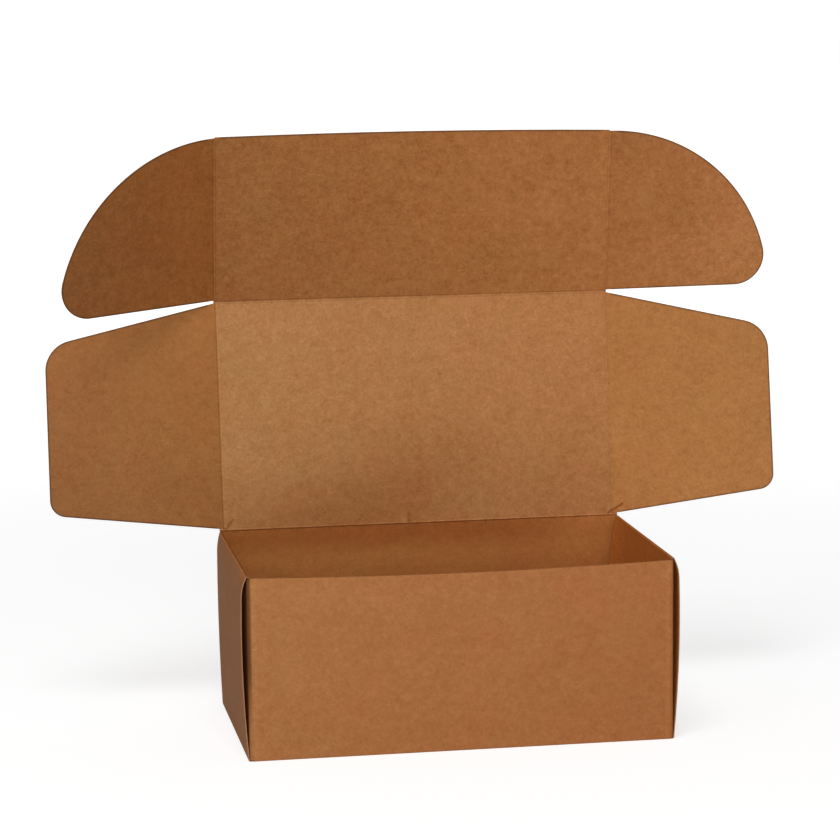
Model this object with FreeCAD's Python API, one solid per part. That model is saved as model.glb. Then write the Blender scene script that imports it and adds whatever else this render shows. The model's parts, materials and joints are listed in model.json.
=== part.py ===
import FreeCAD, Part
import math
import os

from FreeCAD import Placement, Rotation, Vector

# A food carton folded from one creased sheet of kraft board.  The tray has single front and rear
# walls and double side walls that roll over at the rim.  The lid, its two side flaps, the tuck
# panel and its two ears are one run of panels creased to the rear wall, standing open.
# The origin is the middle of the tray's underside, X to the right, Y to the rear, Z up.
# Lengths are in millimetres and angles in degrees.

# The board and its folds
BOARD = 0.45
FOLD_RADIUS = 0.7
BEAD_RADIUS = 0.42
BEAD_GAP = 0.06
PANEL_EDGE = BEAD_RADIUS + BEAD_GAP

# The tray
WIDTH = 200.0
DEPTH = 113.0
RIM_HEIGHT = 86.1
RIM_WIDTH = 1.45
OUTER_FRONT_SETBACK = 1.1
INNER_FRONT_SETBACK = 1.85
REAR_SETBACK = 2.3
SHOULDER_HEIGHT = 76.5
SHOULDER_FULLNESS = 0.73
SHOULDER_FRONT = 2.3
SHOULDER_REAR = 1.3
OUTER_BOW_FRONT = 1.1
OUTER_BOW_REAR = 0.5
FRONT_TOP = 85.2
FRONT_BOW = 3.5
FRONT_DIP = 1.0
FRONT_CORNER_TOP = 84.9
CORNER_X = 99.51
CORNER_RADIUS = 2.2
INNER_FOOT = 0.55
CURL_START = 20.0
CURL_DEPTH = 3.95
CURL_PEAK = 48.0
CURL_SECTIONS = 4

# The dust flaps that the side walls hold
DUST_LENGTH = 48.0
DUST_ROOT = (5.0, 80.85)
DUST_TIP = (14.0, 72.0)
DUST_CORNER = 8.0

# The lock tabs under the inner side panels, and their slots in the floor
TAB_OFFSET = 28.0
TAB_WIDTH = 22.0
TAB_TIP = 0.05
SLOT_WIDTH = 23.0
SLOT_PLAY = 0.08

# The lid and its panels, measured from their creases
LID_CREASE_HEIGHT = 86.5
LID_LENGTH = 111.5
LID_CREASE_X = 97.4
FLAP_LENGTH = 83.8
FLAP_ROOT = (0.4, 111.2)
FLAP_TIP = (10.3, 92.0)
FLAP_REAR_CORNER = 8.0
FLAP_FRONT_CORNER = 15.0
TUCK_HEIGHT = 82.0
TUCK_CROWN = 1.2
EAR_CREASE_X = 97.95
EAR_RADIUS = 85.0
EAR_CENTRE = -3.5
EAR_START = 0.8
EAR_CORNER = 14.8

# How far each crease is opened or folded at rest
LID_OPENING = 100.0
TUCK_FOLD = 18.7
LEFT_FLAP_FOLD = 0.0
RIGHT_FLAP_FOLD = 0.0
LEFT_EAR_FOLD = 22.8
RIGHT_EAR_FOLD = -2.4

# Planes that several panels share
HALF_WIDTH = WIDTH / 2
HALF_DEPTH = DEPTH / 2
FOLD_INSIDE = FOLD_RADIUS - BOARD
PLY_TOP = RIM_HEIGHT - RIM_WIDTH / 2
OUTER_FRONT_Y = OUTER_FRONT_SETBACK - HALF_DEPTH
INNER_FRONT_Y = INNER_FRONT_SETBACK - HALF_DEPTH
SIDE_REAR_Y = HALF_DEPTH - REAR_SETBACK
INNER_FACE_X = HALF_WIDTH - RIM_WIDTH
WALL_END_X = CORNER_X - CORNER_RADIUS
FLOOR_END_Y = HALF_DEPTH - FOLD_RADIUS
CORNER_AXIS_Y = HALF_DEPTH - CORNER_RADIUS
LID_CREASE_Y = HALF_DEPTH - BOARD / 2
REAR_TOP = LID_CREASE_HEIGHT - PANEL_EDGE
UP = Vector(0, 0, 1)


def line(start, end):
    return Part.LineSegment(start, end).toShape()


def arc(start, middle, end):
    return Part.Arc(start, middle, end).toShape()


def extruded(edges, direction):
    """Close the edges into a flat face and extrude it."""
    return Part.Face(Part.Wire(edges)).extrude(direction)


def quarter_fold(axis_point, radius, toward_a, toward_b, direction):
    """The board turned through a right angle, from the side at toward_a to the side at toward_b."""
    diagonal = (toward_a + toward_b).normalize()
    outer = [axis_point + way * radius for way in (toward_a, diagonal, toward_b)]
    inner = [axis_point + way * (radius - BOARD) for way in (toward_a, diagonal, toward_b)]
    edges = [arc(*outer), line(outer[2], inner[2]), arc(*reversed(inner)), line(inner[0], outer[0])]
    return extruded(edges, direction)


def rounded_outline(corners):
    """A closed outline through (x, y, radius) corners, each rounded by a tangent arc."""
    count = len(corners)
    points = [Vector(x, y, 0) for x, y, radius in corners]
    arcs = []
    for index, point in enumerate(points):
        radius = corners[index][2]
        back = (points[index - 1] - point).normalize()
        ahead = (points[(index + 1) % count] - point).normalize()
        half_angle = back.getAngle(ahead) / 2
        run = radius / math.tan(half_angle)
        middle = (back + ahead).normalize() * (radius / math.sin(half_angle) - radius)
        arcs.append((point + back * run, point + middle, point + ahead * run))
    edges = []
    for index, (start, middle, end) in enumerate(arcs):
        if corners[index][2] > 0:
            edges.append(arc(start, middle, end))
        edges.append(line(end, arcs[(index + 1) % count][0]))
    return edges


def board_sheet(edges):
    """A flat panel of board, centred on the plane of its outline."""
    sheet = extruded(edges, UP * BOARD)
    sheet.translate(UP * (-BOARD / 2))
    return sheet


def crease_bead(start, end):
    """The ridge that creasing presses into the board, on the line that a panel turns about."""
    return Part.makeCylinder(BEAD_RADIUS, (end - start).Length, start, end - start)


# ---- the tray -------------------------------------------------------------------------------

def floor():
    plate = Part.makeBox(
        2 * (HALF_WIDTH - FOLD_RADIUS), 2 * FLOOR_END_Y, BOARD,
        Vector(FOLD_RADIUS - HALF_WIDTH, -FLOOR_END_Y, 0))
    for side in (-1, 1):
        for y in (-TAB_OFFSET, TAB_OFFSET):
            slot = Part.makeBox(BOARD + 2 * SLOT_PLAY, SLOT_WIDTH, 3 * BOARD)
            slot.translate(Vector(-BOARD / 2 - SLOT_PLAY, y - SLOT_WIDTH / 2, -BOARD))
            slot.translate(Vector(side * (INNER_FACE_X + BOARD / 2), 0, 0))
            plate = plate.cut(slot)
    return plate


def floor_fold(side):
    """The fold between the floor and the front (-1) or rear (+1) wall."""
    axis_point = Vector(-WALL_END_X, side * FLOOR_END_Y, FOLD_RADIUS)
    return quarter_fold(
        axis_point, FOLD_RADIUS, -UP, Vector(0, side, 0), Vector(2 * WALL_END_X, 0, 0))


def bowed_strip(z, bow):
    """The front wall's section at one height: a strip of board with its middle bowed forward."""
    corners = [(-WALL_END_X, -HALF_DEPTH), (WALL_END_X, -HALF_DEPTH),
               (WALL_END_X, BOARD - HALF_DEPTH), (-WALL_END_X, BOARD - HALF_DEPTH)]
    outer_left, outer_right, inner_right, inner_left = [Vector(x, y, z) for x, y in corners]
    if bow == 0:
        outer = line(outer_left, outer_right)
        inner = line(inner_right, inner_left)
    else:
        outer = arc(outer_left, Vector(0, -HALF_DEPTH - bow, z), outer_right)
        inner = arc(inner_right, Vector(0, BOARD - HALF_DEPTH - bow, z), inner_left)
    return Part.Wire([outer, line(outer_right, inner_right), inner, line(inner_left, outer_left)])


def front_wall():
    """Straight along the floor crease and bowed along its free edge, which dips in the middle."""
    wall = Part.makeLoft([bowed_strip(FOLD_RADIUS, 0), bowed_strip(FRONT_TOP, FRONT_BOW)], True, True)
    left = Vector(-WALL_END_X, -HALF_DEPTH - 2 * FRONT_BOW, FRONT_TOP)
    right = Vector(WALL_END_X, -HALF_DEPTH - 2 * FRONT_BOW, FRONT_TOP)
    lowest = (left + right) / 2 - UP * FRONT_DIP
    dip_edges = [arc(left, lowest, right), line(right, right + UP),
                 line(right + UP, left + UP), line(left + UP, left)]
    return wall.cut(extruded(dip_edges, Vector(0, 4 * FRONT_BOW, 0)))


def rear_wall():
    return Part.makeBox(
        2 * WALL_END_X, BOARD, REAR_TOP - FOLD_RADIUS,
        Vector(-WALL_END_X, HALF_DEPTH - BOARD, FOLD_RADIUS))


def dust_flap(side, end):
    """A flap folded off the front (-1) or rear (+1) wall, lying between the plies of a side wall."""
    start = Vector(side * WALL_END_X, end * CORNER_AXIS_Y, FOLD_RADIUS)
    top = FRONT_CORNER_TOP if end < 0 else REAR_TOP
    fold = quarter_fold(
        start, CORNER_RADIUS, Vector(0, end, 0), Vector(side, 0, 0), UP * (top - FOLD_RADIUS))
    corners = [(0, DUST_ROOT[0], 0), (DUST_LENGTH, DUST_TIP[0], DUST_CORNER),
               (DUST_LENGTH, DUST_TIP[1], DUST_CORNER), (0, DUST_ROOT[1], 0)]
    flap = board_sheet(rounded_outline(corners))
    flap.rotate(Vector(), Vector(1, 0, 0), 90)
    flap.rotate(Vector(), UP, -90 * end)
    flap.translate(Vector(side * (CORNER_X - BOARD / 2), end * CORNER_AXIS_Y, 0))
    return fold.fuse(flap)


def outer_section(y):
    """The right outer ply's section: up from its floor fold and out to a shoulder, then in to the
    hairpin rim.  The shoulder stands further out from the rear to the front."""
    run = (SIDE_REAR_Y - y) / (SIDE_REAR_Y - OUTER_FRONT_Y)
    shoulder = SHOULDER_REAR + (SHOULDER_FRONT - SHOULDER_REAR) * run
    bow = OUTER_BOW_REAR + (OUTER_BOW_FRONT - OUTER_BOW_REAR) * run
    face = [
        (HALF_WIDTH, FOLD_RADIUS),
        (HALF_WIDTH + shoulder / 2 + bow, (SHOULDER_HEIGHT + FOLD_RADIUS) / 2),
        (HALF_WIDTH + shoulder, SHOULDER_HEIGHT),
        (HALF_WIDTH + shoulder * SHOULDER_FULLNESS, (PLY_TOP + SHOULDER_HEIGHT) / 2),
        (HALF_WIDTH, PLY_TOP),
    ]
    rim_middle = (INNER_FACE_X + HALF_WIDTH) / 2
    slant = 1 - math.sqrt(0.5)
    profile = [
        (HALF_WIDTH - FOLD_RADIUS, 0), (HALF_WIDTH - FOLD_RADIUS * slant, FOLD_RADIUS * slant), *face,
        (rim_middle, RIM_HEIGHT), (INNER_FACE_X, PLY_TOP),
        (INNER_FACE_X + BOARD, PLY_TOP), (rim_middle, RIM_HEIGHT - BOARD),
        *[(x - BOARD, z) for x, z in reversed(face)],
        (HALF_WIDTH - BOARD - FOLD_INSIDE * slant, BOARD + FOLD_INSIDE * slant),
        (HALF_WIDTH - FOLD_RADIUS, BOARD),
    ]
    points = [Vector(x, y, z) for x, z in profile]
    arcs = [arc(*points[start:start + 3]) for start in (0, 2, 4, 6, 9, 11, 13, 15)]
    arcs.insert(4, line(points[8], points[9]))
    return Part.Wire(arcs + [line(points[17], points[0])])


def outer_ply():
    return Part.makeLoft([outer_section(OUTER_FRONT_Y), outer_section(SIDE_REAR_Y)], True, True)


def curled_line(x, y, bow):
    """One face of the inner ply's section: from the rim inward to the peak of the curl and back to
    the foot, as two arcs that are upright where they meet."""
    top = Vector(x, y, PLY_TOP)
    peak = Vector(x - bow, y, CURL_PEAK)
    foot = Vector(x, y, INNER_FOOT)
    if bow == 0:
        return [line(top, peak), line(peak, foot)]
    edges = []
    for start, end, height in ((top, peak, PLY_TOP), (peak, foot, INNER_FOOT)):
        rise = height - CURL_PEAK
        radius = (rise ** 2 + bow ** 2) / (2 * bow)
        depth = radius - math.sqrt(radius ** 2 - rise ** 2 / 4)
        edges.append(arc(start, Vector(x - bow + depth, y, CURL_PEAK + rise / 2), end))
    return edges


def inner_section(y):
    """The right inner ply's section.  Behind CURL_START it springs inward, most at its rear edge."""
    run = max(0, y - CURL_START) / (SIDE_REAR_Y - CURL_START)
    bow = CURL_DEPTH * run ** 2
    near = curled_line(INNER_FACE_X, y, bow)
    far = curled_line(INNER_FACE_X + BOARD, y, bow)
    near_top, far_top = [Vector(INNER_FACE_X + depth, y, PLY_TOP) for depth in (0, BOARD)]
    near_foot, far_foot = [Vector(INNER_FACE_X + depth, y, INNER_FOOT) for depth in (0, BOARD)]
    return Part.Wire([*near, line(near_foot, far_foot), *reversed(far), line(far_top, near_top)])


def inner_ply():
    """The right side wall's inner panel, hanging from the rim, with its tabs through the floor."""
    flat = Part.Face(inner_section(INNER_FRONT_Y)).extrude(Vector(0, CURL_START - INNER_FRONT_Y, 0))
    step = (SIDE_REAR_Y - CURL_START) / CURL_SECTIONS
    sections = [inner_section(CURL_START + step * index) for index in range(CURL_SECTIONS + 1)]
    ply = flat.fuse(Part.makeLoft(sections, True, False))
    for y in (-TAB_OFFSET, TAB_OFFSET):
        corner = Vector(INNER_FACE_X, y - TAB_WIDTH / 2, TAB_TIP)
        ply = ply.fuse(Part.makeBox(BOARD, TAB_WIDTH, INNER_FOOT + BOARD / 2 - TAB_TIP, corner))
    return ply


def tray():
    right_wall = outer_ply().fuse(inner_ply())
    left_wall = right_wall.mirror(Vector(), Vector(1, 0, 0))
    panels = [floor_fold(-1), floor_fold(1), front_wall(), rear_wall(), right_wall, left_wall]
    panels += [dust_flap(side, end) for side in (-1, 1) for end in (-1, 1)]
    return floor().fuse(panels).removeSplitter()


# ---- the lid and its panels, each flat in its own frame with its crease on the X or Y axis ----

def lid_panel():
    """X across, Y from the rear crease to the tuck crease, Z towards the inside."""
    half = LID_CREASE_X - PANEL_EDGE
    far = LID_LENGTH - PANEL_EDGE
    sheet = board_sheet(rounded_outline([(-half, 0, 0), (half, 0, 0), (half, far, 0), (-half, far, 0)]))
    return sheet.fuse(crease_bead(Vector(-half, 0, 0), Vector(half, 0, 0))).removeSplitter()


def side_flap(side):
    """X outward from the side crease, Y along the lid."""
    corners = [(0, FLAP_ROOT[0], 0), (side * FLAP_LENGTH, FLAP_TIP[0], FLAP_REAR_CORNER),
               (side * FLAP_LENGTH, FLAP_TIP[1], FLAP_FRONT_CORNER), (0, FLAP_ROOT[1], 0)]
    sheet = board_sheet(rounded_outline(corners))
    bead = crease_bead(Vector(0, FLAP_ROOT[0], 0), Vector(0, FLAP_ROOT[1], 0))
    return sheet.fuse(bead).removeSplitter()


def tuck_panel():
    """X across, Y from the lid to the free edge, which is crowned."""
    root = LID_CREASE_X - PANEL_EDGE
    half = EAR_CREASE_X - PANEL_EDGE
    corners = [Vector(x, y, 0) for x, y in (
        (-root, 0), (root, 0), (half, EAR_START), (half, TUCK_HEIGHT),
        (-half, TUCK_HEIGHT), (-half, EAR_START))]
    edges = [line(corners[index], corners[index + 1]) for index in (0, 1, 2, 4)]
    edges.insert(3, arc(corners[3], Vector(0, TUCK_HEIGHT + TUCK_CROWN, 0), corners[4]))
    edges.append(line(corners[5], corners[0]))
    return board_sheet(edges).fuse(crease_bead(corners[0], corners[1])).removeSplitter()


def ear(side):
    """X outward from the ear crease, Y along the tuck panel.  A quarter round with a soft corner."""
    centre = Vector(0, EAR_CENTRE, 0)
    top = Vector(0, EAR_CENTRE + EAR_RADIUS, 0)
    root = Vector(0, EAR_START, 0)
    corner_y = EAR_START + EAR_CORNER
    corner_x = math.sqrt((EAR_RADIUS - EAR_CORNER) ** 2 - (corner_y - EAR_CENTRE) ** 2)
    corner_centre = Vector(side * corner_x, corner_y, 0)
    outward = (corner_centre - centre).normalize()
    straight_end = corner_centre - Vector(0, EAR_CORNER, 0)
    corner_middle = corner_centre + (outward - Vector(0, 1, 0)).normalize() * EAR_CORNER
    rim_end = centre + outward * EAR_RADIUS
    rim_middle = centre + (outward + Vector(0, 1, 0)).normalize() * EAR_RADIUS
    edges = [line(root, straight_end), arc(straight_end, corner_middle, rim_end),
             arc(rim_end, rim_middle, top), line(top, root)]
    return board_sheet(edges).fuse(crease_bead(root, top)).removeSplitter()


# ---- where each panel stands at rest: a frame on its crease, turned by its fold ----

def lid_frame():
    return Placement(
        Vector(0, LID_CREASE_Y, LID_CREASE_HEIGHT), Rotation(Vector(1, 0, 0), 180 - LID_OPENING))


def tuck_frame():
    return lid_frame() * Placement(Vector(0, LID_LENGTH, 0), Rotation(Vector(1, 0, 0), TUCK_FOLD))


def side_frame(carrier, side, crease_x, fold):
    """A crease on the left (-1) or right (+1) of its carrier, folding towards the inside."""
    return carrier * Placement(Vector(side * crease_x, 0, 0), Rotation(Vector(0, -side, 0), fold))


def standing(shape, frame):
    placed = shape.copy()
    placed.Placement = frame
    return placed


PIECES = {
    "tray": tray(),
    "lid_panel": standing(lid_panel(), lid_frame()),
    "left_side_flap": standing(
        side_flap(-1), side_frame(lid_frame(), -1, LID_CREASE_X, LEFT_FLAP_FOLD)),
    "right_side_flap": standing(
        side_flap(1), side_frame(lid_frame(), 1, LID_CREASE_X, RIGHT_FLAP_FOLD)),
    "tuck_panel": standing(tuck_panel(), tuck_frame()),
    "left_ear": standing(ear(-1), side_frame(tuck_frame(), -1, EAR_CREASE_X, LEFT_EAR_FOLD)),
    "right_ear": standing(ear(1), side_frame(tuck_frame(), 1, EAR_CREASE_X, RIGHT_EAR_FOLD)),
}

os.makedirs("parts", exist_ok=True)
for node, shape in PIECES.items():
    shape.exportStep(f"parts/{node}.step")
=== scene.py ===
import json
from math import cos, pi, radians, sin

import bmesh
import bpy
from mathutils import Matrix, Vector

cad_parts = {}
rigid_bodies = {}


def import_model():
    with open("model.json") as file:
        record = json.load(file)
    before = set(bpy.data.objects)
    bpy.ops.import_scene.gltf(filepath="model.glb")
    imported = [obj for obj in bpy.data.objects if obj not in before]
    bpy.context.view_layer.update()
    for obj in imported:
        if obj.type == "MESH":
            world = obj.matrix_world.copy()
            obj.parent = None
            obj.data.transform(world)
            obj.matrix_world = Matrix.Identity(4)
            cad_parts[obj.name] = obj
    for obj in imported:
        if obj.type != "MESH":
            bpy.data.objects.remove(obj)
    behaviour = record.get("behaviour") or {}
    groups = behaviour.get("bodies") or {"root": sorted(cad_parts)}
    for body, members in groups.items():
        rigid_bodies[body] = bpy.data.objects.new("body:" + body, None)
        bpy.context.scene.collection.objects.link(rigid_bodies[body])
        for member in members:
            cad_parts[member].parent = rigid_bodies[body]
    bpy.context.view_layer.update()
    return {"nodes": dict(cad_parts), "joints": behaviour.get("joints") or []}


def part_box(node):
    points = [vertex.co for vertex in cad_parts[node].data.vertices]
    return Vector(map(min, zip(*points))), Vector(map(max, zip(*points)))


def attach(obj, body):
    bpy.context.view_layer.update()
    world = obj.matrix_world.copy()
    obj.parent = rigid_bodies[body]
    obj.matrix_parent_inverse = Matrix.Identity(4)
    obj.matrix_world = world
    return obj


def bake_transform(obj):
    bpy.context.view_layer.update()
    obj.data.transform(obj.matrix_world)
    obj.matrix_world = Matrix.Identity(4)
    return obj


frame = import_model()

# A kraft board food carton standing open.  The imported solids keep their shapes and get the finish
# of the board, with painted light and shade in its colours.  A pressed crease is laid over each
# fold line so that no daylight shows there, and a band of painted shade is let into the cut edges
# of the panels.
# Lengths are in metres, angles in degrees, and colours are linear.

# ---- the camera and the lights -----------------------------------------------------------------

CAMERA_PLACE = Vector((-0.2492, -1.3802, 0.3608))
CAMERA_AZIMUTH = 9.85
CAMERA_ELEVATION = 8.71
CAMERA_ROLL = -0.55
CAMERA_LENS = 128.7
CAMERA_SENSOR = 36
CAMERA_FAR = 50

# Each soft box: azimuth, elevation, and the level that it gives a white card facing it
SOFT_BOXES = {
    "front_box": (0, 8, 0.46),
    "high_box": (-25, 65, 0.32),
    "side_box": (-50, 35, 0.08),
}
SOFT_BOX_SIZE = 1.0
SOFT_BOX_DISTANCE = 2.5
SOFT_BOX_AIM = Vector((0, 0, 0.12))

# The room as light, from the camera's side and from behind the box, and where it changes over
ROOM_LEVEL = 0.16
REAR_ROOM_LEVEL = 0.38
ROOM_CHANGE = (0.0, 0.8)

# The floor: half its width, its grey as light and to the camera, the glow that makes it white to
# the camera close by and what is added far off, and between which distances that comes in
FLOOR_REACH = 8
FLOOR_GREY = (0.9, 0.9, 0.9, 1)
FLOOR_SEEN_GREY = (0.5, 0.5, 0.5, 1)
FLOOR_GLOW = 0.70
FLOOR_FAR_GLOW = 0.3
FLOOR_CHANGE = (0.3, 1.6)

# ---- the board ---------------------------------------------------------------------------------

HALF_BOARD = 0.000225
BOARD_ROUGHNESS = 0.80
TOOTH_ROUGHNESS = -0.05
BOARD_SPECULAR = 0.22
TOOTH_STRENGTH = 0.6
TOOTH_DEPTH = 0.00004
CUT_CORE = (0.47, 0.24, 0.115)
TRAY_CUT = (0.36, 0.175, 0.080)
OUTSIDE_LINER = (0.385, 0.146, 0.047)

# The pulp's clouds, speckle and grain: the scale of each and how much it moves the tone
PULP_CLOUD = (40.0, 0.10)
PULP_SPECKLE = (560.0, 0.22)
PULP_GRAIN = (1300.0, 0.26)

# Its blotches and its fibres: how each is drawn out, how it is turned, how much it moves the tone,
# and for the fibres the rise that picks them out of the noise
PULP_BLOTCH = ((210.0, 240.0, 240.0), (0.0, 0.1, 0.1), 0.20)
PALE_FIBRE = ((300.0, 2100.0, 1500.0), (0.3, 0.2, 0.5), 0.08, (0.12, 0.24))
DARK_FIBRE = ((1700.0, 340.0, 1900.0), (1.1, 0.7, 2.2), -0.08, (0.14, 0.26))

# How far a tone and a shade move red, green and blue, and the tints between which pulp wanders
TONE_DEPTH = (1.0, 1.4, 2.1)
SHADE_DEPTH = (1.0, 1.5, 2.1)
TINT_SCALE = 60.0
COOL_TINT = (0.97, 1.05, 1.04, 1)
WARM_TINT = (1.03, 0.95, 0.96, 1)

# The tray's walls as each looks: the front and the sides outside, then the sides inside.  The
# front's change from left to right is painted light, the sides outside are darkened with painted
# shade, and the sides inside are brightened with painted bounce light.
FRONT_LEFT_LINER = (0.385, 0.153, 0.048)
FRONT_RIGHT_LINER = (0.374, 0.134, 0.040)
SIDE_LINER_WITH_PAINTED_SHADE = (0.312, 0.124, 0.040)
INSIDE_SIDE_LINER_WITH_PAINTED_BOUNCE = (0.560, 0.192, 0.036)

# The inner liner of each panel, with painted light: its colour at its left and at its right, how
# its tone changes per step up the panel, and how strong its mottle is.  How the panels differ, and
# how each changes from left to right and up, are painted light and shade for how each panel is
# turned.
TONE_STEP = 0.1
INNER_LINER_AND_PAINTED_LIGHT = {
    "tray": ((0.410, 0.153, 0.036), (0.425, 0.147, 0.034), 0.0, 1.7),
    "lid_panel": ((0.410, 0.190, 0.065), (0.424, 0.174, 0.056), 0.05, 1.3),
    "left_side_flap": ((0.310, 0.120, 0.0355), (0.322, 0.126, 0.0315), 0.20, 1.1),
    "right_side_flap": ((0.426, 0.172, 0.047), (0.423, 0.176, 0.050), -0.06, 1.2),
    "tuck_panel": ((0.284, 0.107, 0.0274), (0.380, 0.142, 0.0380), 0.02, 1.6),
    "left_ear": ((0.226, 0.079, 0.0184), (0.260, 0.085, 0.0155), 0.0, 1.5),
    "right_ear": ((0.352, 0.128, 0.0345), (0.425, 0.165, 0.0505), -0.16, 1.6),
}

# How squarely a face looks one way, from where a look begins to come in to where it is whole
INNER_FACING = (-0.1, 0.1)
BROAD_FACING = (0.4, 0.6)
LEFTWARD = (0.10, 0.60)
SIDEWAYS = (0.45, 0.85)
INWARD = (0.3, 0.6)
UPWARD = (0.6, 0.8)
ENDWARD = (0.8, 0.9)

# Where the tray's looks change, each from where it begins to where it is whole.  Across is the
# distance from the middle, to the left or right.
OUTER_PLY_ACROSS = (0.0992, 0.0998)
RIM_ACROSS = (0.0982, 0.0985)
RIM_HEIGHT = (0.0838, 0.0850)
CROWN_ACROSS = (0.0992, 0.0997)
INNER_PLY_ACROSS = (0.0984, 0.0985)
CUT_HEIGHT = (0.080, 0.081)
TURN_IN = (-0.0531, -0.0537)
TURN_HEIGHT = (0.012, 0.045)

# The painted highlight at the front wall's folds, across, and the ends of the tray's outer plies,
# from
# the middle to front and rear: where each begins and ends, and how soft its borders are
FOLD_HIGHLIGHT = (0.0955, 0.0975, 0.0005)
PLY_END = (0.0535, 0.0558, 0.0001)

# The tray's painted light, each tone added to 1: the painted highlight at the front wall's folds,
# the painted shade where that wall turns into the slit, the painted shade on the rims of the left
# and right walls, and the change to their crowns, paler on the left and darker on the right
FOLD_HIGHLIGHT_TONE = 0.07
TURN_TONE = -0.60
LEFT_RIM_TONE = -0.48
LEFT_CROWN_CHANGE = 0.52
RIGHT_RIM_TONE = -0.10
RIGHT_CROWN_CHANGE = -0.54

# The front wall's width, its tone at the floor, and its gain per metre up, which is painted light
FRONT_WIDTH = 0.2
FRONT_FOOT_TONE = 0.955
FRONT_TONE_RISE = 0.9

# The shade under the hinge: the height it hangs from, how far down it fades, where it gives way to
# the right, its depth at the left and the change to the right, and the same for the wall below it
SHADE_TOP = 0.0862
SHADE_FADE = (0.004, 0.018)
SHADE_RIGHT = (0.045, 0.085)
SHADE_DEEP = 0.34
SHADE_DEEP_CHANGE = -0.18
WALL_SHADE = -0.13
WALL_SHADE_CHANGE = -0.07

# The middle of a painted streak that is at its full depth, as a share of its width
STREAK_CORE = 0.2

# The pressed creases: how far each side of its line a crease reaches, the radius of its ridge, its
# lift off the board, how far the crush raises it and the scale of that, how far it bends at each
# side of its line, and its steps.  The ridge of a imported solid lies inside PACKED_RIDGE.
CREASE_REACH = 0.0014
CREASE_RIDGE = 0.00044
CREASE_LIFT = 0.00002
CREASE_CRUSH = 0.00003
CRUSH_SCALE = 350.0
CREASE_BEND = 0.0004
CREASE_STEPS_ALONG = 120
CREASE_STEPS_AROUND = 64
PACKED_RIDGE = 0.00043

# The painted light and shade across a crease, in shares of its reach: over what one panel's liner
# gives way to the other's, how far a lean moves the ridge, where the ridge and a groove fade, and
# how far off the line a groove lies.  The painted highlight on the ridge is broken up by noise of
# this scale, picked out by this rise.
LINER_MIX = (-0.15, 0.15)
LEAN_SHIFT = 0.22
RIDGE_FADE = (0.06, 0.34)
GROOVE_FADE = (0.06, 0.32)
GROOVE_PLACE = 0.50
RIDGE_PATCHES_SCALE = 260.0
RIDGE_PATCHES = (-0.20, 0.12)

# Each crease: how pale the painted highlight on its ridge is and how dark the painted shade in its
# grooves is, where 1 is like the panels; towards which panel the ridge leans, -1 the carrier and 1
# the carried; and how far it runs past the ends of its ridge, where the sheet goes on between two
# cuts.
CREASE_LOOKS = {
    "lid_hinge": (1.20, 0.58, 1.0, 0.0026),
    "left_side_flap_hinge": (1.14, 0.82, -1.0, 0.0),
    "right_side_flap_hinge": (1.06, 0.92, 0.0, 0.0),
    "tuck_hinge": (1.14, 0.76, -0.3, 0.0015),
    "left_ear_hinge": (1.18, 0.78, 0.0, 0.0),
    "right_ear_hinge": (1.08, 0.88, 0.0, 0.0),
}

# The band of painted shade along a panel's cut edge: how wide it is, how far it stands off the
# board, how far it stays inside the edge and clear of a fold, its tone, how uneven that is and at
# what scale, and where towards the edge it comes in
EDGE_WIDTH = 0.0014
EDGE_LIFT = 0.000012
EDGE_INSET = 0.00001
EDGE_CLEAR = 0.0035
EDGE_SHADE_TONE = 0.42
EDGE_UNEVEN = 0.4
EDGE_SCALE = 420.0
EDGE_RISE = (0.25, 0.85)

# Tolerances: points of a mesh closer than SAME_POINT are one point, the rod's borders lie within
# half of ROD_BORDER of its middle plane, lengths and ways that agree by ALMOST are the same, and a
# front face's normal has its y under FRONTWARD
SAME_POINT = 0.000001
ROD_BORDER = 0.0001
ALMOST = 0.99
FRONTWARD = -0.3

JOINTS = {joint["name"]: joint for joint in frame["joints"]}


def add_object(name, data):
    item = bpy.data.objects.new(name, data)
    bpy.context.scene.collection.objects.link(item)
    return item


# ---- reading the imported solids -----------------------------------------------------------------

def inner_face(body):
    """The direction of a panel's inner face, which is its largest face towards the front."""
    if body == "tray":
        return Vector((0, -1, 0))
    faces = [face for face in frame["nodes"][body].data.polygons if face.normal.y < FRONTWARD]
    return max(faces, key=lambda face: face.area).normal.copy()


def crease_line(joint):
    """The two ends of a crease, read from the ridge of the panel that turns about it."""
    place = Vector(joint["pos_m"])
    axis = Vector(joint["axis"]).normalized()
    runs = []
    for vertex in frame["nodes"][joint["child"]].data.vertices:
        away = vertex.co - place
        run = away.dot(axis)
        if (away - axis * run).length < PACKED_RIDGE:
            runs.append(run)
    return place + axis * min(runs), place + axis * max(runs)


# ---- node building -----------------------------------------------------------------------------

def add_node(tree, kind, **settings):
    item = tree.nodes.new(kind)
    for name, value in settings.items():
        setattr(item, name, value)
    return item


def feed(tree, socket, value):
    """Joins a socket to another socket, or sets it to a plain value."""
    if isinstance(value, bpy.types.NodeSocket):
        tree.links.new(value, socket)
    else:
        socket.default_value = value


def maths(tree, operation, *values):
    item = add_node(tree, "ShaderNodeMath", operation=operation)
    for index, value in enumerate(values):
        feed(tree, item.inputs[index], value)
    return item.outputs[0]


def vector_maths(tree, operation, *values):
    item = add_node(tree, "ShaderNodeVectorMath", operation=operation)
    for index, value in enumerate(values):
        feed(tree, item.inputs[index], value)
    return item.outputs["Value" if operation in ("DOT_PRODUCT", "LENGTH") else "Vector"]


def product(tree, first, *others):
    for value in others:
        first = maths(tree, "MULTIPLY", first, value)
    return first


def one_less(tree, value):
    """What is left of 1 once a value is taken from it."""
    return maths(tree, "SUBTRACT", 1.0, value)


def size_of(tree, value):
    return maths(tree, "ABSOLUTE", value)


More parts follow.
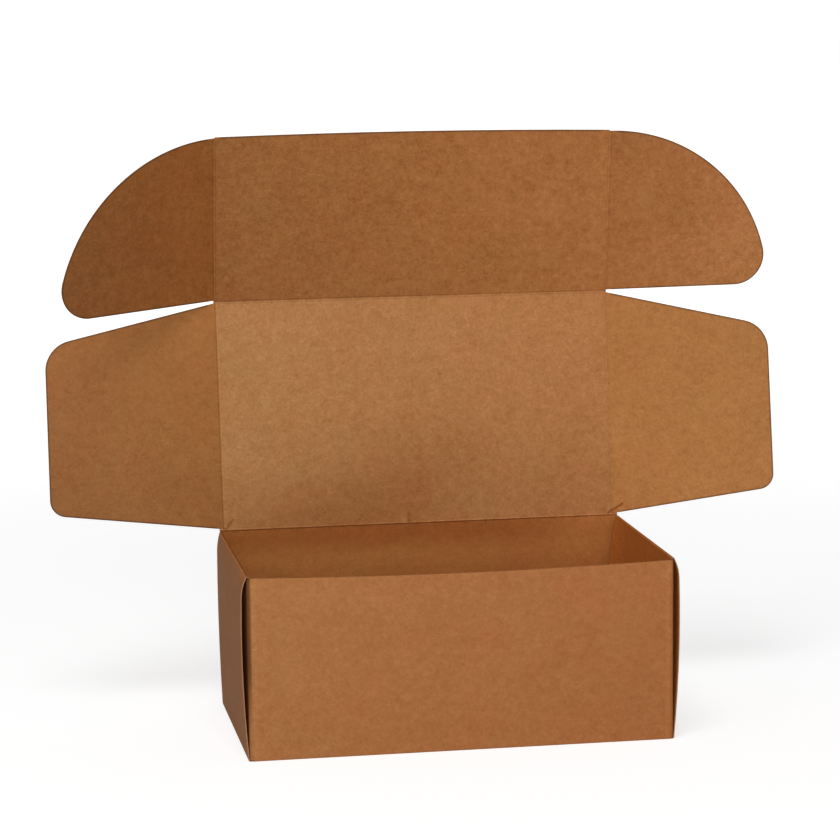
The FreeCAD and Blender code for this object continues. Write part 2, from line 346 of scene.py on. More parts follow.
def scaled(tree, vector, amount):
    item = add_node(tree, "ShaderNodeVectorMath", operation="SCALE")
    feed(tree, item.inputs[0], vector)
    feed(tree, item.inputs["Scale"], amount)
    return item.outputs["Vector"]


def rise(tree, value, low, high):
    """0 at low and before it, 1 at high and past it, and a smooth rise between."""
    item = add_node(tree, "ShaderNodeMapRange", interpolation_type="SMOOTHSTEP")
    feed(tree, item.inputs["Value"], value)
    item.inputs["From Min"].default_value = low
    item.inputs["From Max"].default_value = high
    return item.outputs["Result"]


def mix_colours(tree, amount, under, over):
    item = add_node(tree, "ShaderNodeMix", data_type="RGBA")
    feed(tree, item.inputs["Factor"], amount)
    feed(tree, item.inputs[6], under)
    feed(tree, item.inputs[7], over)
    return item.outputs[2]


def mix_vectors(tree, amount, under, over):
    item = add_node(tree, "ShaderNodeMix", data_type="VECTOR")
    feed(tree, item.inputs["Factor"], amount)
    feed(tree, item.inputs[4], under)
    feed(tree, item.inputs[5], over)
    return item.outputs[1]


def separate(tree, vector):
    parts = add_node(tree, "ShaderNodeSeparateXYZ")
    feed(tree, parts.inputs[0], vector)
    return [parts.outputs[axis] for axis in "XYZ"]


def per_colour(tree, amount, depths):
    """1 plus an amount that each of red, green and blue takes to its own depth."""
    parts = add_node(tree, "ShaderNodeCombineXYZ")
    for axis, depth in zip("XYZ", depths):
        feed(tree, parts.inputs[axis], maths(tree, "MULTIPLY_ADD", amount, depth, 1.0))
    return parts.outputs[0]


def noise(tree, place, scale, detail):
    item = add_node(tree, "ShaderNodeTexNoise")
    feed(tree, item.inputs["Vector"], place)
    item.inputs["Scale"].default_value = scale
    item.inputs["Detail"].default_value = detail
    return maths(tree, "SUBTRACT", item.outputs["Fac"], 0.5)


def strands(tree, place, scale, turn):
    """Noise drawn out along one direction, as fibres lie in pulp."""
    laid = add_node(tree, "ShaderNodeMapping")
    feed(tree, laid.inputs["Vector"], place)
    laid.inputs["Scale"].default_value = scale
    laid.inputs["Rotation"].default_value = turn
    return noise(tree, laid.outputs["Vector"], 1.0, 1.0)


def new_group(name, takes, gives):
    """A shader group with named sockets; takes and gives list (name, kind, default)."""
    tree = bpy.data.node_groups.new(name, "ShaderNodeTree")
    for way, sockets in (("INPUT", takes), ("OUTPUT", gives)):
        for label, kind, default in sockets:
            socket = tree.interface.new_socket(
                name=label, in_out=way, socket_type="NodeSocket" + kind)
            if default is not None:
                socket.default_value = default
    return tree, add_node(tree, "NodeGroupInput"), add_node(tree, "NodeGroupOutput")


def use_group(tree, group, **values):
    item = add_node(tree, "ShaderNodeGroup", node_tree=group)
    for label, value in values.items():
        feed(tree, item.inputs[label.replace("_", " ")], value)
    return item


# ---- shared effects ----------------------------------------------------------------------------

def pulp_group():
    """Unbleached pulp: soft clouds and blotches, a fine speckle, and pale and dark fibres.  The
    tone moves green and blue more than red."""
    tree, given, out = new_group(
        "kraft pulp",
        [("Place", "Vector", None), ("Liner", "Color", None), ("Mottle", "Float", 1.0)],
        [("Colour", "Color", None), ("Tooth", "Float", None)])
    place = given.outputs["Place"]
    clouds, speckles, grains = [
        noise(tree, place, scale, 1.0) for scale, share in (PULP_CLOUD, PULP_SPECKLE, PULP_GRAIN)]
    pale, dark = [
        rise(tree, strands(tree, place, laid, turn), *picked)
        for laid, turn, share, picked in (PALE_FIBRE, DARK_FIBRE)]
    laid, turn, share = PULP_BLOTCH
    tone = maths(tree, "MULTIPLY", strands(tree, place, laid, turn), share)
    for value, share in (
            (clouds, PULP_CLOUD[1]), (speckles, PULP_SPECKLE[1]), (grains, PULP_GRAIN[1]),
            (pale, PALE_FIBRE[2]), (dark, DARK_FIBRE[2])):
        tone = maths(tree, "MULTIPLY_ADD", value, share, tone)
    tones = per_colour(tree, maths(tree, "MULTIPLY", tone, given.outputs["Mottle"]), TONE_DEPTH)
    warmth = maths(tree, "ADD", noise(tree, place, TINT_SCALE, 1.0), 0.5)
    tint = mix_colours(tree, warmth, COOL_TINT, WARM_TINT)
    liner = vector_maths(tree, "MULTIPLY", given.outputs["Liner"], tint)
    feed(tree, out.inputs["Colour"], vector_maths(tree, "MULTIPLY", liner, tones))
    tooth = maths(tree, "ADD", maths(tree, "ADD", speckles, grains), pale)
    feed(tree, out.inputs["Tooth"], tooth)
    return tree


def panel_tone_group():
    """A panel's liner, which changes slowly from its left to its right and up the panel: that
    change is painted light and shade.
    """
    tree, given, out = new_group(
        "panel tone",
        [("Place", "Vector", None), ("Low", "Vector", None), ("High", "Vector", None),
         ("Left", "Color", None), ("Right", "Color", None), ("Change Along", "Float", 0.0)],
        [("Liner", "Color", None)])
    size = vector_maths(tree, "SUBTRACT", given.outputs["High"], given.outputs["Low"])
    away = vector_maths(tree, "SUBTRACT", given.outputs["Place"], given.outputs["Low"])
    share_x, _, share_z = separate(tree, vector_maths(tree, "DIVIDE", away, size))
    height = separate(tree, size)[2]
    liner = mix_colours(tree, share_x, given.outputs["Left"], given.outputs["Right"])
    along = product(tree, maths(tree, "SUBTRACT", share_z, 0.5), height, 1 / TONE_STEP)
    tone = maths(tree, "MULTIPLY_ADD", along, given.outputs["Change Along"], 1.0)
    feed(tree, out.inputs["Liner"], scaled(tree, liner, tone))
    return tree


def shade_group():
    """A soft shade that deepens the liner as well as darkening it."""
    tree, given, out = new_group(
        "soft shade",
        [("Colour", "Color", None), ("Amount", "Float", 0.0)], [("Colour", "Color", None)])
    amounts = per_colour(tree, given.outputs["Amount"], [-depth for depth in SHADE_DEPTH])
    shaded = vector_maths(tree, "MULTIPLY", given.outputs["Colour"], amounts)
    feed(tree, out.inputs["Colour"], shaded)
    return tree


def crease_tone_group():
    """Painted light across a pressed crease: an uneven painted highlight on the ridge between two
    grooves of painted shade.  A crease that leans shows its ridge to one side and its groove to the
    other."""
    tree, given, out = new_group(
        "crease tone",
        [("Across", "Float", 0.0), ("Place", "Vector", None), ("Colour", "Color", None),
         ("Ridge", "Float", 1.1), ("Groove", "Float", 0.85), ("Lean", "Float", 0.0)],
        [("Colour", "Color", None)])
    lean = given.outputs["Lean"]
    off = maths(tree, "MULTIPLY_ADD", lean, -LEAN_SHIFT, given.outputs["Across"])
    painted_shading = rise(tree, noise(tree, given.outputs["Place"], RIDGE_PATCHES_SCALE, 2.0), *RIDGE_PATCHES)
    ridge = one_less(tree, rise(tree, size_of(tree, off), *RIDGE_FADE))
    paler = maths(tree, "SUBTRACT", given.outputs["Ridge"], 1.0)
    darker = maths(tree, "SUBTRACT", given.outputs["Groove"], 1.0)
    tone = product(tree, ridge, painted_shading, paler)
    for side in (-1, 1):
        away = size_of(tree, maths(tree, "ADD", off, -GROOVE_PLACE * side))
        groove = one_less(tree, rise(tree, away, *GROOVE_FADE))
        weight = maths(tree, "MINIMUM", maths(tree, "MULTIPLY_ADD", lean, -side, 1.0), 1.0)
        tone = maths(tree, "MULTIPLY_ADD", product(tree, groove, darker), weight, tone)
    toned = scaled(tree, given.outputs["Colour"], maths(tree, "ADD", tone, 1.0))
    feed(tree, out.inputs["Colour"], toned)
    return tree


def edge_shade_group():
    """The uneven dark line of painted shade along a die-cut edge, from the value that rises towards
    the edge.
    """
    tree, given, out = new_group(
        "edge shade",
        [("Toward Edge", "Float", 0.0), ("Place", "Vector", None), ("Colour", "Color", None),
         ("Tone", "Float", 1.0)],
        [("Colour", "Color", None)])
    near = given.outputs["Toward Edge"]
    grain = noise(tree, given.outputs["Place"], EDGE_SCALE, 2.0)
    uneven = maths(tree, "MULTIPLY", grain, EDGE_UNEVEN)
    painted_shading = rise(tree, maths(tree, "MULTIPLY_ADD", uneven, near, near), *EDGE_RISE)
    darker = maths(tree, "SUBTRACT", given.outputs["Tone"], 1.0)
    tone = maths(tree, "MULTIPLY_ADD", painted_shading, darker, 1.0)
    feed(tree, out.inputs["Colour"], scaled(tree, given.outputs["Colour"], tone))
    return tree


PULP = pulp_group()
PANEL_TONE = panel_tone_group()
SHADE = shade_group()
CREASE_TONE = crease_tone_group()
EDGE_SHADE = edge_shade_group()


# ---- materials ---------------------------------------------------------------------------------

def new_material(name):
    """A material without nodes but its output, whose surface socket comes back with it."""
    material = bpy.data.materials.new(name)
    material.use_nodes = True
    tree = material.node_tree
    tree.nodes.clear()
    return material, tree, add_node(tree, "ShaderNodeOutputMaterial").inputs["Surface"]


def new_board(name):
    material, tree, surface = new_material(name)
    shader = add_node(tree, "ShaderNodeBsdfPrincipled")
    feed(tree, surface, shader.outputs[0])
    return material, tree, shader


def finish_board(tree, shader, colour, tooth):
    """Uncoated board: matt, with the tooth of its fibres."""
    feed(tree, shader.inputs["Base Color"], colour)
    roughness = maths(tree, "MULTIPLY_ADD", tooth, TOOTH_ROUGHNESS, BOARD_ROUGHNESS)
    feed(tree, shader.inputs["Roughness"], roughness)
    shader.inputs["Specular IOR Level"].default_value = BOARD_SPECULAR
    bump = add_node(tree, "ShaderNodeBump")
    bump.inputs["Strength"].default_value = TOOTH_STRENGTH
    bump.inputs["Distance"].default_value = TOOTH_DEPTH
    feed(tree, bump.inputs["Height"], tooth)
    feed(tree, shader.inputs["Normal"], bump.outputs["Normal"])


def inner_liner_with_painted_light(tree, place, body):
    """The inner liner's colour over a panel, with its slow change of tone, which is painted light
    and shade.
    """
    left, right, along = INNER_LINER_AND_PAINTED_LIGHT[body][:3]
    lowest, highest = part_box(body)
    toned = use_group(
        tree, PANEL_TONE, Place=place, Low=lowest, High=highest,
        Left=(*left, 1), Right=(*right, 1), Change_Along=along)
    return toned.outputs["Liner"]


def patch(tree, place, middle, reach):
    """A soft round patch: 1 at its middle and 0 at its reach, which differs in x and z."""
    away = vector_maths(tree, "SUBTRACT", place, (middle[0], 0, middle[1]))
    away = vector_maths(tree, "MULTIPLY", away, (1 / reach[0], 0, 1 / reach[1]))
    return one_less(tree, rise(tree, vector_maths(tree, "LENGTH", away), 0.0, 1.0))


def streak(tree, place, start, end, width):
    """A short streak, for painted shade and for a painted highlight: 1 on the line from start to
    end, both given in x and z, and 0 off it.
    """
    start, end = Vector((start[0], 0, start[1])), Vector((end[0], 0, end[1]))
    away = vector_maths(tree, "MULTIPLY", vector_maths(tree, "SUBTRACT", place, start), (1, 0, 1))
    share = vector_maths(tree, "DOT_PRODUCT", away, (end - start) / (end - start).length_squared)
    share = maths(tree, "MINIMUM", maths(tree, "MAXIMUM", share, 0.0), 1.0)
    away = vector_maths(tree, "SUBTRACT", away, scaled(tree, end - start, share))
    distance = vector_maths(tree, "LENGTH", away)
    return one_less(tree, rise(tree, distance, STREAK_CORE * width, width))


def under_hinge(tree, place):
    """Painted shade on the rear wall's inside: deepest just under the hinge, and paler low down and
    to the right.
    """
    x, _, z = separate(tree, place)
    high = one_less(tree, rise(tree, maths(tree, "SUBTRACT", SHADE_TOP, z), *SHADE_FADE))
    to_right = rise(tree, x, *SHADE_RIGHT)
    deep = maths(tree, "MULTIPLY_ADD", to_right, SHADE_DEEP_CHANGE, SHADE_DEEP)
    amount = maths(tree, "MULTIPLY_ADD", high, deep, WALL_SHADE)
    return maths(tree, "MULTIPLY_ADD", to_right, WALL_SHADE_CHANGE, amount)


# Each soft painted shade on a panel, a negative depth painting a highlight: its depth, its kind,
# and then a patch's middle and reach, or a streak's two ends and width
SHADES = {
    "lid_panel": (
        # Painted shade on the lid's lower middle, where it buckles
        (0.20, patch, (-0.040, 0.090), (0.085, 0.034)),
        (0.10, patch, (0.004, 0.112), (0.060, 0.036)),
        (0.06, patch, (0.060, 0.095), (0.060, 0.040)),
        # Painted shade in the wrinkles at the hinge's ends and on a nick in the hinge, and a
        # painted highlight beside the nick
        (0.24, streak, (-0.0962, 0.0872), (-0.0930, 0.0912), 0.0009),
        (0.34, streak, (0.0950, 0.0872), (0.0985, 0.0898), 0.0010),
        (0.13, streak, (-0.0057, 0.0860), (-0.0058, 0.0910), 0.0013),
        (-0.09, streak, (-0.0082, 0.0850), (-0.0082, 0.0905), 0.0024),
    ),
    # Painted shade in the wrinkle at the hinge's right end
    "right_side_flap": ((0.34, streak, (0.0950, 0.0872), (0.1025, 0.0915), 0.0010),),
}


def shaded_liner(tree, place, body):
    """A body's inner liner with painted shade: on the lid's lower middle where it buckles, in the
    wrinkles at the hinge's ends, on a nick in the hinge with a painted highlight beside it, and in
    the tray under the hinge."""
    liner = inner_liner_with_painted_light(tree, place, body)
    if body == "tray":
        amount = under_hinge(tree, place)
    elif body in SHADES:
        amount = 0.0
        for depth, kind, *lie in SHADES[body]:
            amount = maths(tree, "MULTIPLY_ADD", kind(tree, place, *lie), depth, amount)
    else:
        return liner
    return use_group(tree, SHADE, Colour=liner, Amount=amount).outputs["Colour"]


def board_finish(tree, shader, place, liner, mottle):
    """Pulp over the liner, with painted shade where the piece stores how near its edge is."""
    pulp = use_group(tree, PULP, Place=place, Liner=liner, Mottle=mottle)
    near = add_node(tree, "ShaderNodeAttribute", attribute_name="toward_edge")
    painted_shading = use_group(
        tree, EDGE_SHADE, Toward_Edge=near.outputs["Fac"], Place=place,
        Colour=pulp.outputs["Colour"], Tone=EDGE_SHADE_TONE)
    finish_board(tree, shader, painted_shading.outputs["Colour"], pulp.outputs["Tooth"])


def panel_board(body):
    """A flat panel: its inner and its outer liner, and the paler core at its cuts."""
    material, tree, shader = new_board(body + "_board")
    where = add_node(tree, "ShaderNodeTexCoord")
    place = where.outputs["Object"]
    facing = vector_maths(tree, "DOT_PRODUCT", where.outputs["Normal"], inner_face(body))
    inside = shaded_liner(tree, place, body)
    liner = mix_colours(tree, rise(tree, facing, *INNER_FACING), (*OUTSIDE_LINER, 1), inside)
    broad = rise(tree, size_of(tree, facing), *BROAD_FACING)
    liner = mix_colours(tree, broad, (*CUT_CORE, 1), liner)
    board_finish(tree, shader, place, liner, INNER_LINER_AND_PAINTED_LIGHT[body][3])
    return material


def within(tree, value, low, high, soft):
    """1 where a value lies between low and high."""
    above = rise(tree, value, low - soft, low + soft)
    below = rise(tree, value, high - soft, high + soft)
    return maths(tree, "SUBTRACT", above, below)


def front_liner(tree, place, face_x, across):
    """The front wall outside: painted light that makes it paler up the wall, a painted highlight
    along its folds, and painted shade where it turns into the slit at its left end."""
    x, y, z = separate(tree, place)
    share = maths(tree, "MULTIPLY_ADD", x, 1 / FRONT_WIDTH, 0.5)
    front = mix_colours(tree, share, (*FRONT_LEFT_LINER, 1), (*FRONT_RIGHT_LINER, 1))
    high = maths(tree, "MULTIPLY_ADD", z, FRONT_TONE_RISE, FRONT_FOOT_TONE)
    painted_shading = within(tree, across, *FOLD_HIGHLIGHT)
    front = scaled(tree, front, maths(tree, "MULTIPLY_ADD", painted_shading, FOLD_HIGHLIGHT_TONE, high))
    turned = product(
        tree, rise(tree, maths(tree, "MULTIPLY", face_x, -1.0), *LEFTWARD),
        rise(tree, y, *TURN_IN), rise(tree, z, *TURN_HEIGHT))
    return scaled(tree, front, maths(tree, "MULTIPLY_ADD", turned, TURN_TONE, 1.0))


def rim_tone(tree, x, z, across):
    """Painted shade on the rolled rims and on the crowns outside them, which differ left and right:
    the left crown is lifted back to about the plain tone, the right one is darkened further.
    """
    rim = product(tree, rise(tree, z, *RIM_HEIGHT), rise(tree, across, *RIM_ACROSS))
    crown = rise(tree, across, *CROWN_ACROSS)
    left = maths(tree, "MULTIPLY_ADD", crown, LEFT_CROWN_CHANGE, LEFT_RIM_TONE)
    right = maths(tree, "MULTIPLY_ADD", crown, RIGHT_CROWN_CHANGE, RIGHT_RIM_TONE)
    on_right = maths(tree, "GREATER_THAN", x, 0.0)
    tone = maths(tree, "MULTIPLY_ADD", maths(tree, "SUBTRACT", right, left), on_right, left)
    return maths(tree, "MULTIPLY_ADD", rim, tone, 1.0)


def tray_cuts(tree, place, face_y, face_z, across):
    """1 on the tray's cut edges: the tops of its single walls and the ends of its outer plies."""
    _, y, z = separate(tree, place)
    in_ply = rise(tree, across, *INNER_PLY_ACROSS)
    tops = product(
        tree, rise(tree, face_z, *UPWARD), rise(tree, z, *CUT_HEIGHT), one_less(tree, in_ply))
    ends = product(
        tree, rise(tree, size_of(tree, face_y), *ENDWARD), in_ply,
        within(tree, size_of(tree, y), *PLY_END))
    return maths(tree, "MAXIMUM", tops, ends)


def tray_board():
    """The tray: each wall's liner by the way that it faces, its rims, and the core at its cuts."""
    material, tree, shader = new_board("tray_board")
    where = add_node(tree, "ShaderNodeTexCoord")
    place = where.outputs["Object"]
    x, y, z = separate(tree, place)
    face_x, face_y, face_z = separate(tree, where.outputs["Normal"])
    across = size_of(tree, x)
    inward = face_z
    for facing, off in ((face_x, x), (face_y, y)):
        towards = product(tree, facing, maths(tree, "SIGN", off), -1.0)
        inward = maths(tree, "MAXIMUM", inward, towards)
    sideways = rise(tree, size_of(tree, face_x), *SIDEWAYS)

    beyond = product(tree, sideways, rise(tree, across, *OUTER_PLY_ACROSS))
    outside = mix_colours(
        tree, beyond, front_liner(tree, place, face_x, across), (*SIDE_LINER_WITH_PAINTED_SHADE, 1))
    inside = mix_colours(
        tree, sideways, shaded_liner(tree, place, "tray"), (*INSIDE_SIDE_LINER_WITH_PAINTED_BOUNCE, 1))
    liner = mix_colours(tree, rise(tree, inward, *INWARD), outside, inside)
    liner = scaled(tree, liner, rim_tone(tree, x, z, across))
    cuts = tray_cuts(tree, place, face_y, face_z, across)
    liner = mix_colours(tree, cuts, liner, (*TRAY_CUT, 1))
    board_finish(tree, shader, place, liner, 1.0)
    return material


def crease_board(joint):
    """A pressed crease, whose colour passes from one panel's liner to the other's."""
    material, tree, shader = new_board(joint["name"] + "_crease")
    values = {}
    for name in ("rest_place", "across", "inner"):
        values[name] = add_node(tree, "ShaderNodeAttribute", attribute_name=name)
    place = values["rest_place"].outputs["Vector"]
    across = values["across"].outputs["Fac"]
    liners = [shaded_liner(tree, place, body) for body in (joint["parent"], joint["child"])]
    inside = mix_colours(tree, rise(tree, across, *LINER_MIX), *liners)
    liner = mix_colours(tree, values["inner"].outputs["Fac"], (*OUTSIDE_LINER, 1), inside)
    mottle = (INNER_LINER_AND_PAINTED_LIGHT[joint["parent"]][3] + INNER_LINER_AND_PAINTED_LIGHT[joint["child"]][3]) / 2
    pulp = use_group(tree, PULP, Place=place, Liner=liner, Mottle=mottle)
    ridge, groove, lean = CREASE_LOOKS[joint["name"]][:3]
    toned = use_group(
        tree, CREASE_TONE, Across=across, Place=place, Colour=pulp.outputs["Colour"],
        Ridge=ridge, Groove=groove, Lean=lean)
    finish_board(tree, shader, toned.outputs["Colour"], pulp.outputs["Tooth"])
    return material


# ---- creases -----------------------------------------------------------------------------------

def crease_tree():
    """Geometry of one pressed crease: a sleeve round the board on both sides of a fold line, thick
    as the board at its borders, with a round and slightly uneven ridge along the line."""
    tree = bpy.data.node_groups.new("pressed crease", "GeometryNodeTree")
    for label, kind in (
            ("Start", "Vector"), ("End", "Vector"), ("Into Line", "Vector"),
            ("Out Of Line", "Vector"), ("Reach", "Float"), ("Run Out", "Float"),
            ("Half Board", "Float"), ("Ridge", "Float"), ("Crush", "Float"),
            ("Steps Along", "Int"), ("Steps Around", "Int"), ("Finish", "Material")):
        tree.interface.new_socket(name=label, in_out="INPUT", socket_type="NodeSocket" + kind)
    tree.interface.new_socket(name="Geometry", in_out="OUTPUT", socket_type="NodeSocketGeometry")
    given = add_node(tree, "NodeGroupInput").outputs
    out = add_node(tree, "NodeGroupOutput")

    # A unit cylinder whose angle becomes the way round the board and whose height the way along
    rod = add_node(tree, "GeometryNodeMeshCylinder")
    feed(tree, rod.inputs["Vertices"], given["Steps Around"])
    feed(tree, rod.inputs["Side Segments"], given["Steps Along"])
    rod.inputs["Radius"].default_value = 1.0
    rod.inputs["Depth"].default_value = 1.0
    spot_x, spot_y, spot_z = separate(
        tree, add_node(tree, "GeometryNodeInputPosition").outputs[0])
    share = maths(tree, "ADD", spot_z, 0.5)
    line = vector_maths(tree, "SUBTRACT", given["End"], given["Start"])

    # The sleeve narrows to half its reach over the run-out at each end
    to_end = maths(tree, "SUBTRACT", 0.5, size_of(tree, spot_z))
    to_end = maths(tree, "MULTIPLY", to_end, vector_maths(tree, "LENGTH", line))
    taper = maths(tree, "DIVIDE", to_end, maths(tree, "MAXIMUM", given["Run Out"], SAME_POINT))
    taper = maths(tree, "MINIMUM", maths(tree, "MULTIPLY_ADD", taper, 0.5, 0.5), 1.0)
    off = maths(tree, "MULTIPLY", spot_x, maths(tree, "MULTIPLY", given["Reach"], taper))

    # The inner side of the board is 1 and the outer -1, and the two borders between them are 0
    inner = maths(tree, "GREATER_THAN", spot_y, 0.0)
    face = maths(tree, "ROUND", maths(tree, "MULTIPLY", spot_y, 1 / ROD_BORDER))
    face = maths(tree, "SIGN", face)

    on_line = vector_maths(tree, "ADD", given["Start"], scaled(tree, line, share))
    line = vector_maths(tree, "NORMALIZE", line)
    past = rise(tree, off, -CREASE_BEND, CREASE_BEND)
    out_of_face = vector_maths(tree, "NORMALIZE", mix_vectors(
        tree, past, vector_maths(tree, "CROSS_PRODUCT", line, given["Into Line"]),
        vector_maths(tree, "CROSS_PRODUCT", line, given["Out Of Line"])))
    way = mix_vectors(
        tree, maths(tree, "GREATER_THAN", off, 0.0), given["Into Line"], given["Out Of Line"])

    # The ridge is round; beyond it the sleeve lies just off the board
    squares = [maths(tree, "POWER", value, 2.0) for value in (given["Ridge"], off)]
    round_part = maths(tree, "MAXIMUM", maths(tree, "SUBTRACT", *squares), 0.0)
    level = maths(tree, "ADD", given["Half Board"], CREASE_LIFT)
    height = maths(tree, "MAXIMUM", maths(tree, "SQRT", round_part), level)
    crushed = size_of(tree, noise(tree, on_line, CRUSH_SCALE, 2.0))
    height = maths(tree, "MULTIPLY_ADD", crushed, given["Crush"], height)
    height = maths(tree, "MULTIPLY", height, face)
    place = vector_maths(tree, "ADD", on_line, scaled(tree, way, off))
    place = vector_maths(tree, "ADD", place, scaled(tree, out_of_face, height))

    # What the material reads is stored while the rod still stands unshaped
    shape = rod.outputs["Mesh"]
    for name, kind, value in (
            ("across", "FLOAT", spot_x), ("inner", "FLOAT", inner),
            ("rest_place", "FLOAT_VECTOR", place)):
        held = add_node(tree, "GeometryNodeStoreNamedAttribute", data_type=kind)
        held.inputs["Name"].default_value = name
        feed(tree, held.inputs["Geometry"], shape)
        feed(tree, held.inputs["Value"], value)
        shape = held.outputs["Geometry"]
    moved = add_node(tree, "GeometryNodeSetPosition")
    feed(tree, moved.inputs["Geometry"], shape)
    feed(tree, moved.inputs["Position"], place)
    smooth = add_node(tree, "GeometryNodeSetShadeSmooth")
    feed(tree, smooth.inputs["Geometry"], moved.outputs["Geometry"])
    whole = add_node(tree, "GeometryNodeRealizeInstances")
    feed(tree, whole.inputs["Geometry"], smooth.outputs["Geometry"])
    finish = add_node(tree, "GeometryNodeSetMaterial")
    feed(tree, finish.inputs["Geometry"], whole.outputs["Geometry"])
    feed(tree, finish.inputs["Material"], given["Finish"])
    feed(tree, out.inputs["Geometry"], finish.outputs["Geometry"])
    return tree


def grown(name, tree, values):
    """The plain mesh that a geometry tree makes from named values."""
    seed = add_object(name + "_seed", bpy.data.meshes.new(name + "_seed"))
    modifier = seed.modifiers.new("grow", "NODES")
    modifier.node_group = tree
    for item in tree.interface.items_tree:
        if item.in_out == "INPUT":
            modifier[item.identifier] = values[item.name]
    bpy.context.view_layer.update()
    shaped = seed.evaluated_get(bpy.context.evaluated_depsgraph_get())
    mesh = bpy.data.meshes.new_from_object(shaped)
    mesh.name = name
    bpy.data.objects.remove(seed)
    return add_object(name, mesh)


def add_crease(joint, tree):
    """A pressed crease over a joint's fold line."""
    start, end = crease_line(joint)
    line = (end - start).normalized()
    into = inner_face(joint["parent"]).cross(line)
    middle = sum(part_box(joint["child"]), Vector()) / 2
    if into.dot(middle - start) < 0:
        start, end, line = end, start, -line
        into = -into
    out_of = inner_face(joint["child"]).cross(line)
    run_out = CREASE_LOOKS[joint["name"]][3]
    piece = grown(joint["name"].replace("_hinge", "_crease"), tree, {
        "Start": start - line * run_out, "End": end + line * run_out,
        "Into Line": into, "Out Of Line": out_of, "Reach": CREASE_REACH, "Run Out": run_out,
        "Half Board": HALF_BOARD, "Ridge": CREASE_RIDGE, "Crush": CREASE_CRUSH,
        "Steps Along": CREASE_STEPS_ALONG, "Steps Around": CREASE_STEPS_AROUND,
        "Finish": crease_board(joint)})
    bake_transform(piece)


# ---- cut edges ---------------------------------------------------------------------------------

def cut_edges(panel, body, facing):
    """The edges round a panel's inner side that are cut and clear of folds, and for each of their
    points the ways into the panel, one for each edge that ends there."""
    folds = []
    for joint in JOINTS.values():
        if body in (joint["parent"], joint["child"]):
            start, end = crease_line(joint)
            folds.append((start, facing.cross(end - start).normalized()))
    for start, across in folds:
        for side in (across, -across):
            whole = panel.verts[:] + panel.edges[:] + panel.faces[:]
            bmesh.ops.bisect_plane(
                panel, geom=whole, plane_co=start + side * EDGE_CLEAR, plane_no=side)
    near_fold = {
        point for point in panel.verts for start, across in folds
        if abs((point.co - start).dot(across)) < ALMOST * EDGE_CLEAR}

    front = {face for face in panel.faces if face.normal.dot(facing) > ALMOST}
    cuts = []
    inward = {}
    for edge in panel.edges:
        faces = front.intersection(edge.link_faces)
        if len(faces) != 1 or near_fold.intersection(edge.verts):
            continue
        cuts.append(edge)
        start, end = [point.co for point in edge.verts]
        way = facing.cross(end - start).normalized()
        if way.dot(faces.pop().calc_center_median() - start) < 0:
            way = -way
        for point in edge.verts:
            inward.setdefault(point, []).append(way)
    return cuts, inward


def add_edge_band(body, board):
    """A closed band let into a panel along its cut edges, which carries painted shade there.  It
    stores how near the edge each of its points is."""
    panel = bmesh.new()
    panel.from_mesh(frame["nodes"][body].data)
    bmesh.ops.remove_doubles(panel, verts=panel.verts, dist=SAME_POINT)
    facing = inner_face(body)
    cuts, inward = cut_edges(panel, body, facing)

    band = bmesh.new()
    near = band.verts.layers.float.new("toward_edge")
    corners = (
        (EDGE_INSET, 1, 1.0), (EDGE_WIDTH, 1, 0.0), (EDGE_WIDTH, -1, 0.0), (EDGE_INSET, -1, 1.0))
    rings = {}
    for point, ways in inward.items():
        mitre = sum(ways, Vector()) / (1 + ways[0].dot(ways[1])) if len(ways) == 2 else ways[0]
        rings[point] = []
        for away, side, value in corners:
            lift = side * (HALF_BOARD + EDGE_LIFT) - HALF_BOARD
            corner = band.verts.new(point.co + mitre * away + facing * lift)
            corner[near] = value
            rings[point].append(corner)
        if len(ways) == 1:
            band.faces.new(rings[point])
    for edge in cuts:
        start, end = [rings[point] for point in edge.verts]
        for first in range(4):
            second = (first + 1) % 4
            band.faces.new((start[first], end[first], end[second], start[second]))
    bmesh.ops.recalc_face_normals(band, faces=band.faces)
    mesh = bpy.data.meshes.new(body + "_edge")
    band.to_mesh(mesh)
    panel.free()
    band.free()
    mesh.materials.append(board)
    piece = add_object(body + "_edge", mesh)
    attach(piece, body)


# ---- floor, light and camera -------------------------------------------------------------------

def white_ground(name):
    """White to the camera, and paler than a real shadow would leave it."""
    material, tree, surface = new_material(name)
    where = add_node(tree, "ShaderNodeTexCoord")
    far = rise(tree, vector_maths(tree, "LENGTH", where.outputs["Object"]), *FLOOR_CHANGE)
    rays = add_node(tree, "ShaderNodeLightPath")
    seen = rays.outputs["Is Camera Ray"]
    diffuse = add_node(tree, "ShaderNodeBsdfDiffuse")
    feed(tree, diffuse.inputs["Color"], mix_colours(tree, seen, FLOOR_GREY, FLOOR_SEEN_GREY))
    glow = add_node(tree, "ShaderNodeEmission")
    level = maths(tree, "MULTIPLY_ADD", far, FLOOR_FAR_GLOW, FLOOR_GLOW)
    feed(tree, glow.inputs["Strength"], maths(tree, "MULTIPLY", seen, level))
    both = add_node(tree, "ShaderNodeAddShader")
    feed(tree, both.inputs[0], diffuse.outputs[0])
    feed(tree, both.inputs[1], glow.outputs[0])
    feed(tree, surface, both.outputs[0])
    return material


def add_floor():
    mesh = bpy.data.meshes.new("floor")
    signs = ((-1, -1), (1, -1), (1, 1), (-1, 1))
    corners = [(x * FLOOR_REACH, y * FLOOR_REACH, 0) for x, y in signs]
    mesh.from_pydata(corners, [], [(0, 1, 2, 3)])
    mesh.materials.append(white_ground("white_floor"))
    floor = add_object("floor", mesh)


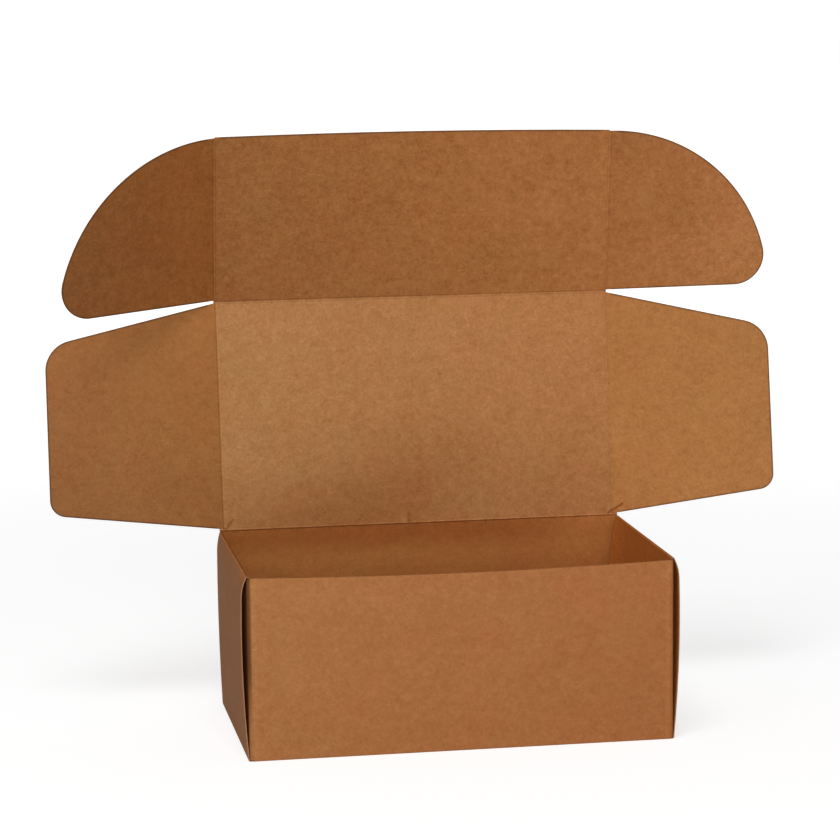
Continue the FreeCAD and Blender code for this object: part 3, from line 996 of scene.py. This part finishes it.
def light_room():
    """A room that is white to the camera, dimmer as light, and brighter behind the box."""
    world = bpy.data.worlds.new("room")
    bpy.context.scene.world = world
    world.use_nodes = True
    tree = world.node_tree
    tree.nodes.clear()
    where = add_node(tree, "ShaderNodeTexCoord")
    rear = rise(tree, separate(tree, where.outputs["Generated"])[1], *ROOM_CHANGE)
    level = maths(tree, "MULTIPLY_ADD", rear, REAR_ROOM_LEVEL - ROOM_LEVEL, ROOM_LEVEL)
    rays = add_node(tree, "ShaderNodeLightPath")
    seen = maths(tree, "MAXIMUM", rays.outputs["Is Camera Ray"], rays.outputs["Is Glossy Ray"])
    seen = maths(tree, "MAXIMUM", seen, rays.outputs["Is Transmission Ray"])
    strength = maths(tree, "MAXIMUM", seen, level)
    background = add_node(tree, "ShaderNodeBackground")
    background.inputs["Color"].default_value = (1, 1, 1, 1)
    feed(tree, background.inputs["Strength"], strength)
    output = add_node(tree, "ShaderNodeOutputWorld")
    feed(tree, output.inputs["Surface"], background.outputs[0])


def add_soft_box(name, azimuth, elevation, level):
    """A square soft box, aimed at the middle of the carton."""
    around, up = radians(azimuth), radians(elevation)
    away = Vector((sin(around) * cos(up), -cos(around) * cos(up), sin(up))).normalized()
    lamp = bpy.data.lights.new(name, "AREA")
    lamp.size = SOFT_BOX_SIZE
    lamp.energy = level * (pi * SOFT_BOX_DISTANCE) ** 2
    item = add_object(name, lamp)
    item.location = SOFT_BOX_AIM + away * SOFT_BOX_DISTANCE
    item.rotation_euler = away.to_track_quat("Z", "Y").to_euler()


def add_camera():
    camera = bpy.data.cameras.new("camera")
    camera.lens = CAMERA_LENS
    camera.sensor_width = CAMERA_SENSOR
    camera.clip_end = CAMERA_FAR
    item = add_object("camera", camera)
    turn = Matrix.Rotation(radians(-CAMERA_AZIMUTH), 4, "Z")
    tilt = Matrix.Rotation(radians(90 - CAMERA_ELEVATION), 4, "X")
    roll = Matrix.Rotation(radians(CAMERA_ROLL), 4, "Z")
    item.matrix_world = Matrix.Translation(CAMERA_PLACE) @ turn @ tilt @ roll
    bpy.context.scene.camera = item


# ---- making ------------------------------------------------------------------------------------

for body in INNER_LINER_AND_PAINTED_LIGHT:
    board = tray_board() if body == "tray" else panel_board(body)
    frame["nodes"][body].data.materials.clear()
    frame["nodes"][body].data.materials.append(board)
    if body not in ("tray", "lid_panel"):
        add_edge_band(body, board)

creases = crease_tree()
for joint in JOINTS.values():
    add_crease(joint, creases)

add_floor()
light_room()
for name, (azimuth, elevation, level) in SOFT_BOXES.items():
    add_soft_box(name, azimuth, elevation, level)
add_camera()
bpy.context.scene.view_settings.view_transform = "Standard"
